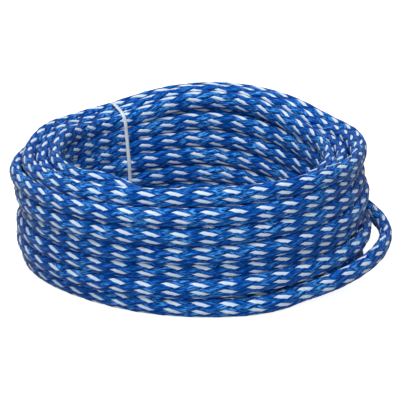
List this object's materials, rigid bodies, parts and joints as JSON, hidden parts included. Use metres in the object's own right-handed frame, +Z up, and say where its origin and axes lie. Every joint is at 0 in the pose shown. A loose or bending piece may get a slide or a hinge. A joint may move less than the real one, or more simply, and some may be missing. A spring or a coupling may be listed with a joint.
{
  "type": "coiled tow rope",
  "caption": "Hollow braid tow rope with a spliced eye at each end, wound into a round coil and held by a slim cable tie.",
  "frame": {"origin": "centre of the base of the whole object's box, on the surface that the coil lies on", "axes": "+Z up along the coil's axis, +Y towards the back where the boat end lies, +X towards the loose turn's side"},
  "size_m": [0.2561, 0.2864, 0.0875],
  "materials": {
    "rope_blue": "saturated blue polypropylene yarn with a soft sheen",
    "rope_white": "white polypropylene tracer yarn, seen as flecks",
    "tie_nylon": "natural nylon, milky and slightly see-through"
  },
  "bodies": {
    "coil": {"rope_coil": "rope_blue", "rope_loose_turn": "rope_blue", "boat_end_lead": "rope_blue", "boat_end_splice": "rope_blue", "boat_end_eye": "rope_blue", "rider_end_lead": "rope_blue", "rider_end_splice": "rope_blue", "rider_end_eye": "rope_blue", "tie_strap": "tie_nylon", "tie_head": "tie_nylon"},
    "pawl": {"tie_pawl": "tie_nylon"}
  },
  "joints": [
    {"name": "pawl_flex", "type": "hinge", "parent": "coil", "child": "pawl", "pos_m": [-0.07002, 0.08209, 0.04695], "axis": [-0.8616, -0.5075, 0], "range_deg": [0, 12], "stiffness_Nm_per_rad": 0.004}
  ]
}
